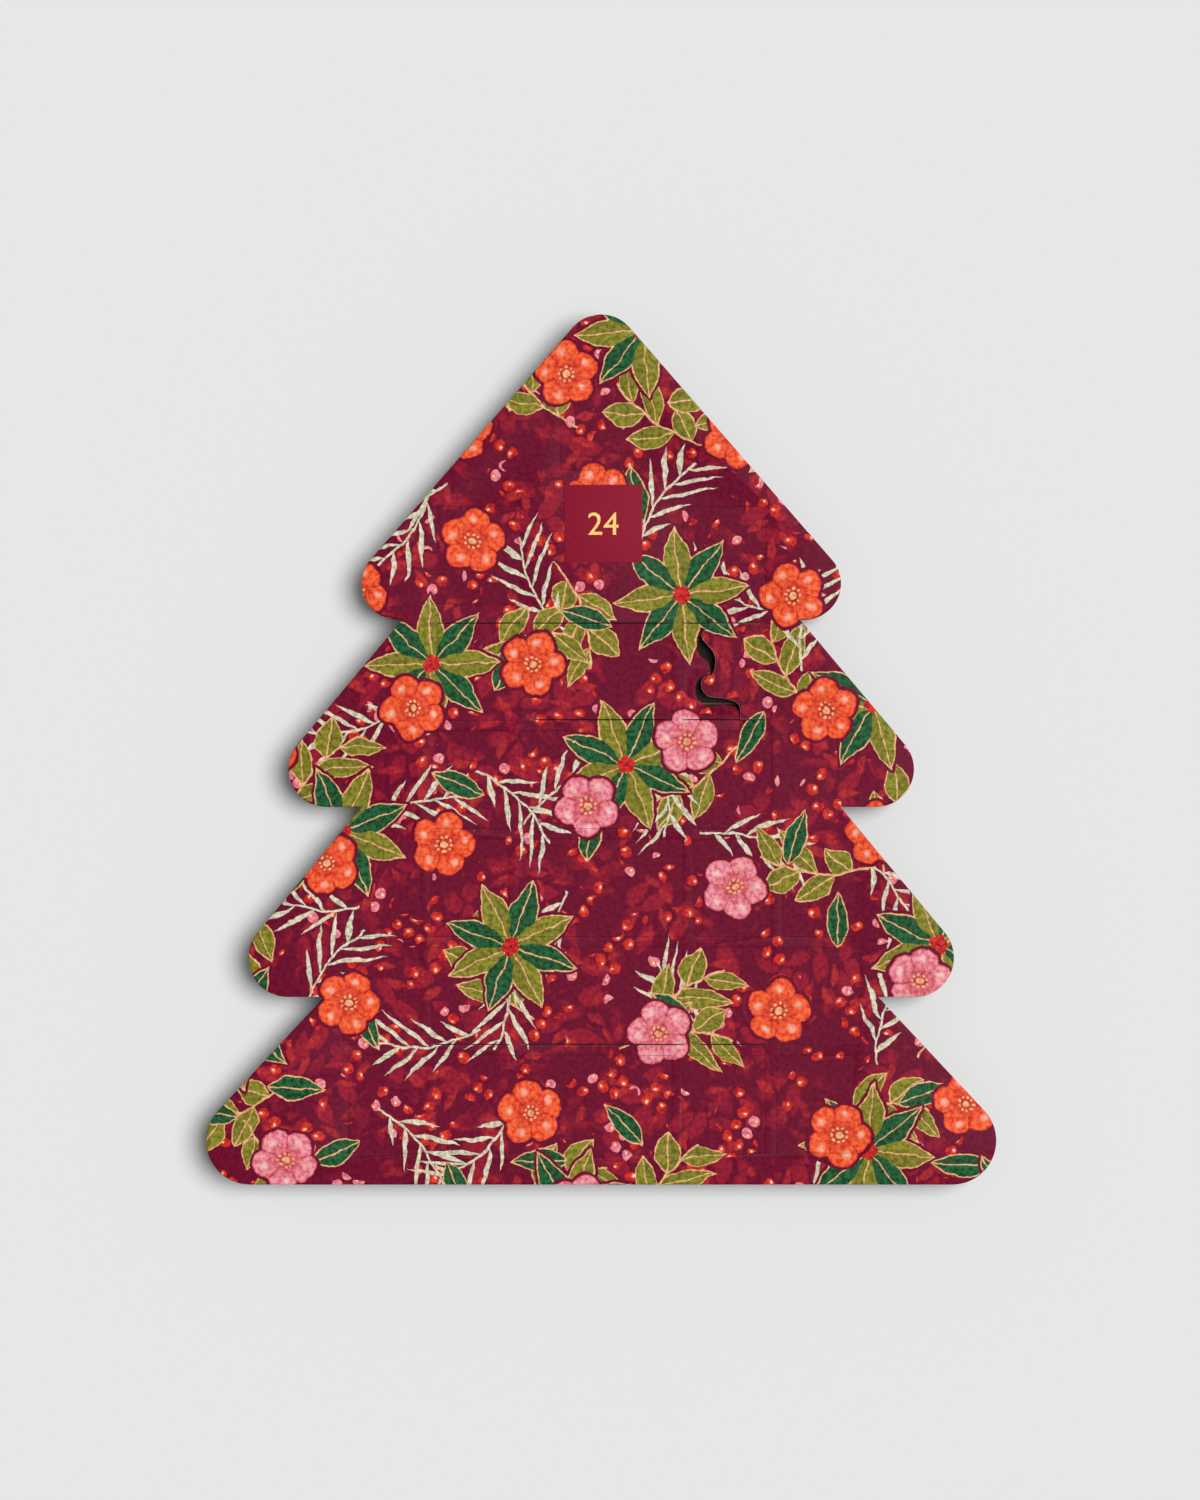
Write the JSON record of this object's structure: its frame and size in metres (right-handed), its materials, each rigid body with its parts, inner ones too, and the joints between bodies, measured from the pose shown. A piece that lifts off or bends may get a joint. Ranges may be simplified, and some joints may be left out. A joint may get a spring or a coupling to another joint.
{
  "type": "chocolate advent calendar",
  "caption": "Shallow tree-shaped board case with hinged card doors cut in its printed front, each over a tray pocket with a wrapped chocolate.",
  "frame": {"origin": "on the back face, in the middle of the tree outline's box", "axes": "+X to the right of the printed front, +Y to the top of the tree, +Z out of the printed front"},
  "size_m": [0.336, 0.37, 0.0165],
  "materials": {
    "printed_board": "satin printed paper over card",
    "plain_board": "matt uncoated card",
    "label_paper": "smooth matt paper",
    "tray_plastic": "gloss moulded sheet",
    "gold_wrap": "satin foil",
    "red_wrap": "satin foil",
    "green_wrap": "satin foil",
    "cream_wrap": "satin foil"
  },
  "bodies": {
    "case": {"back_panel": "plain_board", "side_wall": "printed_board", "front_panel": "printed_board", "pocket_tray": "tray_plastic", "label": "label_paper", "chocolate_01": "gold_wrap", "chocolate_02": "red_wrap", "chocolate_03": "cream_wrap", "chocolate_04": "green_wrap", "chocolate_05": "gold_wrap", "chocolate_06": "red_wrap", "chocolate_07": "cream_wrap", "chocolate_08": "green_wrap", "chocolate_09": "gold_wrap", "chocolate_10": "red_wrap", "chocolate_11": "cream_wrap", "chocolate_12": "green_wrap", "chocolate_13": "gold_wrap", "chocolate_14": "red_wrap", "chocolate_15": "cream_wrap", "chocolate_16": "green_wrap", "chocolate_17": "gold_wrap", "chocolate_18": "red_wrap", "chocolate_19": "cream_wrap", "chocolate_20": "green_wrap", "chocolate_21": "gold_wrap", "chocolate_22": "red_wrap", "chocolate_23": "cream_wrap", "chocolate_24": "green_wrap"},
    "door_01": {"door_01": "printed_board"},
    "door_02": {"door_02": "printed_board"},
    "door_03": {"door_03": "printed_board"},
    "door_04": {"door_04": "printed_board"},
    "door_05": {"door_05": "printed_board"},
    "door_06": {"door_06": "printed_board"},
    "door_07": {"door_07": "printed_board"},
    "door_08": {"door_08": "printed_board"},
    "door_09": {"door_09": "printed_board"},
    "door_10": {"door_10": "printed_board"},
    "door_11": {"door_11": "printed_board"},
    "door_12": {"door_12": "printed_board"},
    "door_13": {"door_13": "printed_board"},
    "door_14": {"door_14": "printed_board"},
    "door_15": {"door_15": "printed_board"},
    "door_16": {"door_16": "printed_board"},
    "door_17": {"door_17": "printed_board"},
    "door_18": {"door_18": "printed_board"},
    "door_19": {"door_19": "printed_board"},
    "door_20": {"door_20": "printed_board"},
    "door_21": {"door_21": "printed_board"},
    "door_22": {"door_22": "printed_board"},
    "door_23": {"door_23": "printed_board"},
    "door_24_left": {"door_24_left": "printed_board"},
    "door_24_right": {"door_24_right": "printed_board"}
  },
  "joints": [
    {"name": "door_01_hinge", "type": "hinge", "parent": "case", "child": "door_01", "pos_m": [-0.10735, -0.1508, 0.0162], "axis": [0, -1, 0], "range_deg": [0, 165]},
    {"name": "door_02_hinge", "type": "hinge", "parent": "case", "child": "door_02", "pos_m": [-0.06975, -0.1508, 0.0162], "axis": [0, -1, 0], "range_deg": [0, 165]},
    {"name": "door_03_hinge", "type": "hinge", "parent": "case", "child": "door_03", "pos_m": [-0.02995, -0.1508, 0.0162], "axis": [0, -1, 0], "range_deg": [0, 165]},
    {"name": "door_04_hinge", "type": "hinge", "parent": "case", "child": "door_04", "pos_m": [0.03465, -0.1508, 0.0162], "axis": [0, -1, 0], "range_deg": [0, 165]},
    {"name": "door_05_hinge", "type": "hinge", "parent": "case", "child": "door_05", "pos_m": [0.07445, -0.1508, 0.0162], "axis": [0, -1, 0], "range_deg": [0, 165]},
    {"name": "door_06_hinge", "type": "hinge", "parent": "case", "child": "door_06", "pos_m": [-0.1099, -0.1048, 0.0162], "axis": [0, -1, 0], "range_deg": [0, 165]},
    {"name": "door_07_hinge", "type": "hinge", "parent": "case", "child": "door_07", "pos_m": [-0.0723, -0.1048, 0.0162], "axis": [0, -1, 0], "range_deg": [0, 165]},
    {"name": "door_08_hinge", "type": "hinge", "parent": "case", "child": "door_08", "pos_m": [-0.0347, -0.1048, 0.0162], "axis": [0, -1, 0], "range_deg": [0, 165]},
    {"name": "door_09_hinge", "type": "hinge", "parent": "case", "child": "door_09", "pos_m": [0.0394, -0.1048, 0.0162], "axis": [0, -1, 0], "range_deg": [0, 165]},
    {"name": "door_10_hinge", "type": "hinge", "parent": "case", "child": "door_10", "pos_m": [0.077, -0.1048, 0.0162], "axis": [0, -1, 0], "range_deg": [0, 165]},
    {"name": "door_11_hinge", "type": "hinge", "parent": "case", "child": "door_11", "pos_m": [-0.1082, -0.0588, 0.0162], "axis": [0, -1, 0], "range_deg": [0, 165]},
    {"name": "door_12_hinge", "type": "hinge", "parent": "case", "child": "door_12", "pos_m": [-0.0723, -0.0588, 0.0162], "axis": [0, -1, 0], "range_deg": [0, 165]},
    {"name": "door_13_hinge", "type": "hinge", "parent": "case", "child": "door_13", "pos_m": [-0.0347, -0.0588, 0.0162], "axis": [0, -1, 0], "range_deg": [0, 165]},
    {"name": "door_14_hinge", "type": "hinge", "parent": "case", "child": "door_14", "pos_m": [0.0394, -0.0588, 0.0162], "axis": [0, -1, 0], "range_deg": [0, 165]},
    {"name": "door_15_hinge", "type": "hinge", "parent": "case", "child": "door_15", "pos_m": [0.077, -0.0588, 0.0162], "axis": [0, -1, 0], "range_deg": [0, 165]},
    {"name": "door_16_hinge", "type": "hinge", "parent": "case", "child": "door_16", "pos_m": [-0.0723, -0.0128, 0.0162], "axis": [0, -1, 0], "range_deg": [0, 165]},
    {"name": "door_17_hinge", "type": "hinge", "parent": "case", "child": "door_17", "pos_m": [-0.0347, -0.0128, 0.0162], "axis": [0, -1, 0], "range_deg": [0, 165]},
    {"name": "door_18_hinge", "type": "hinge", "parent": "case", "child": "door_18", "pos_m": [0.0394, -0.0128, 0.0162], "axis": [0, -1, 0], "range_deg": [0, 165]},
    {"name": "door_19_hinge", "type": "hinge", "parent": "case", "child": "door_19", "pos_m": [-0.06975, 0.0332, 0.0162], "axis": [0, -1, 0], "range_deg": [0, 165]},
    {"name": "door_20_hinge", "type": "hinge", "parent": "case", "child": "door_20", "pos_m": [-0.02995, 0.0332, 0.0162], "axis": [0, -1, 0], "range_deg": [0, 165]},
    {"name": "door_21_hinge", "type": "hinge", "parent": "case", "child": "door_21", "pos_m": [-0.06975, 0.0826, 0.0162], "axis": [0, -1, 0], "range_deg": [0, 165]},
    {"name": "door_22_hinge", "type": "hinge", "parent": "case", "child": "door_22", "pos_m": [0.03465, 0.0826, 0.0162], "axis": [0, -1, 0], "range_deg": [0, 165]},
    {"name": "door_23_hinge", "type": "hinge", "parent": "case", "child": "door_23", "pos_m": [-0.01735, 0.1363, 0.0162], "axis": [0, -1, 0], "range_deg": [0, 165]},
    {"name": "door_24_left_hinge", "type": "hinge", "parent": "case", "child": "door_24_left", "pos_m": [0.03465, 0.0332, 0.0162], "axis": [0, -1, 0], "range_deg": [0, 165]},
    {"name": "door_24_right_hinge", "type": "hinge", "parent": "case", "child": "door_24_right", "pos_m": [0.06975, 0.0332, 0.0162], "axis": [0, 1, 0], "range_deg": [0, 165]}
  ]
}
